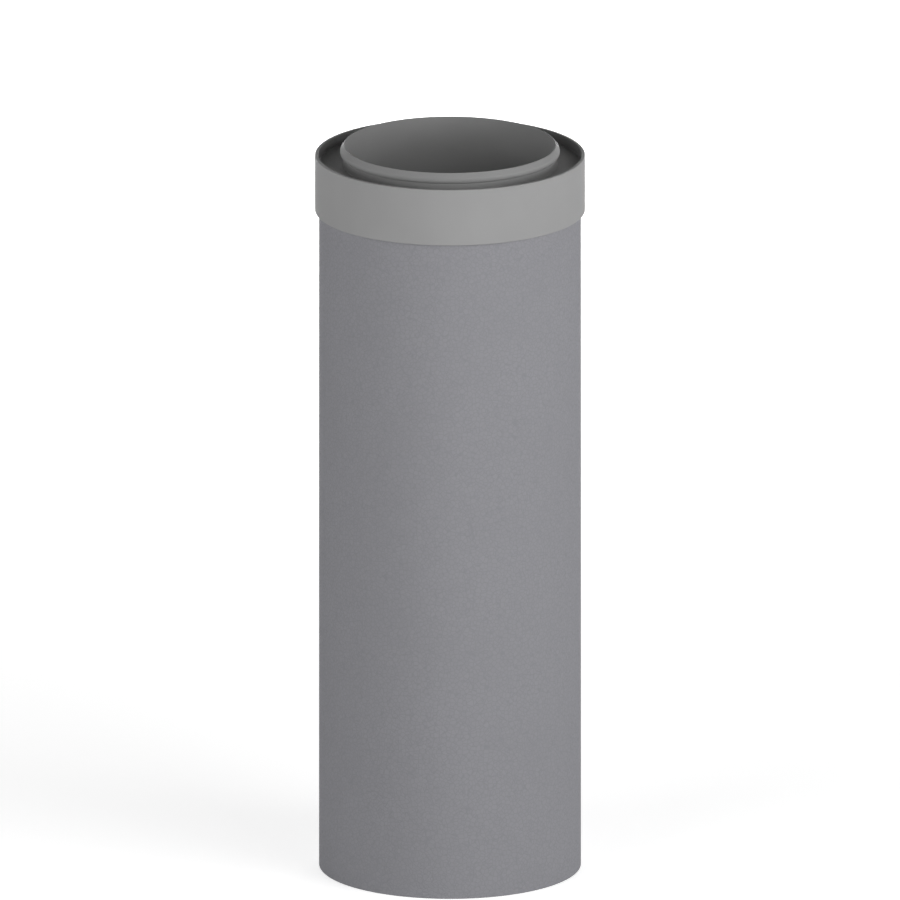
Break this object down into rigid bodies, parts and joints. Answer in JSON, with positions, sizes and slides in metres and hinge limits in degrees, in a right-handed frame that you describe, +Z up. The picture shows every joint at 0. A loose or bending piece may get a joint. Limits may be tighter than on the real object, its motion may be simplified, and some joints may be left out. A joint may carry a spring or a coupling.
{
  "type": "insulated ventilation duct",
  "caption": "Straight round insulated air duct of thick foam, open at both ends, with a push-on coupling ring seated on its upper end.",
  "frame": {"origin": "centre of the duct's lower end, on the floor", "axes": "+Z up along the duct's axis from its plain lower end to its chamfered upper end; +X to the right and +Y away from the viewer in the picture"},
  "size_m": [0.196, 0.196, 0.5415],
  "materials": {
    "duct_foam": "matte",
    "coupling_plastic": "satin"
  },
  "bodies": {
    "duct": {"duct": "duct_foam"},
    "coupling": {"coupling": "coupling_plastic"}
  },
  "joints": [
    {"name": "coupling_lift", "type": "slide", "parent": "duct", "child": "coupling", "axis": [0, 0, 1], "range_m": [0, 0.0875]}
  ]
}
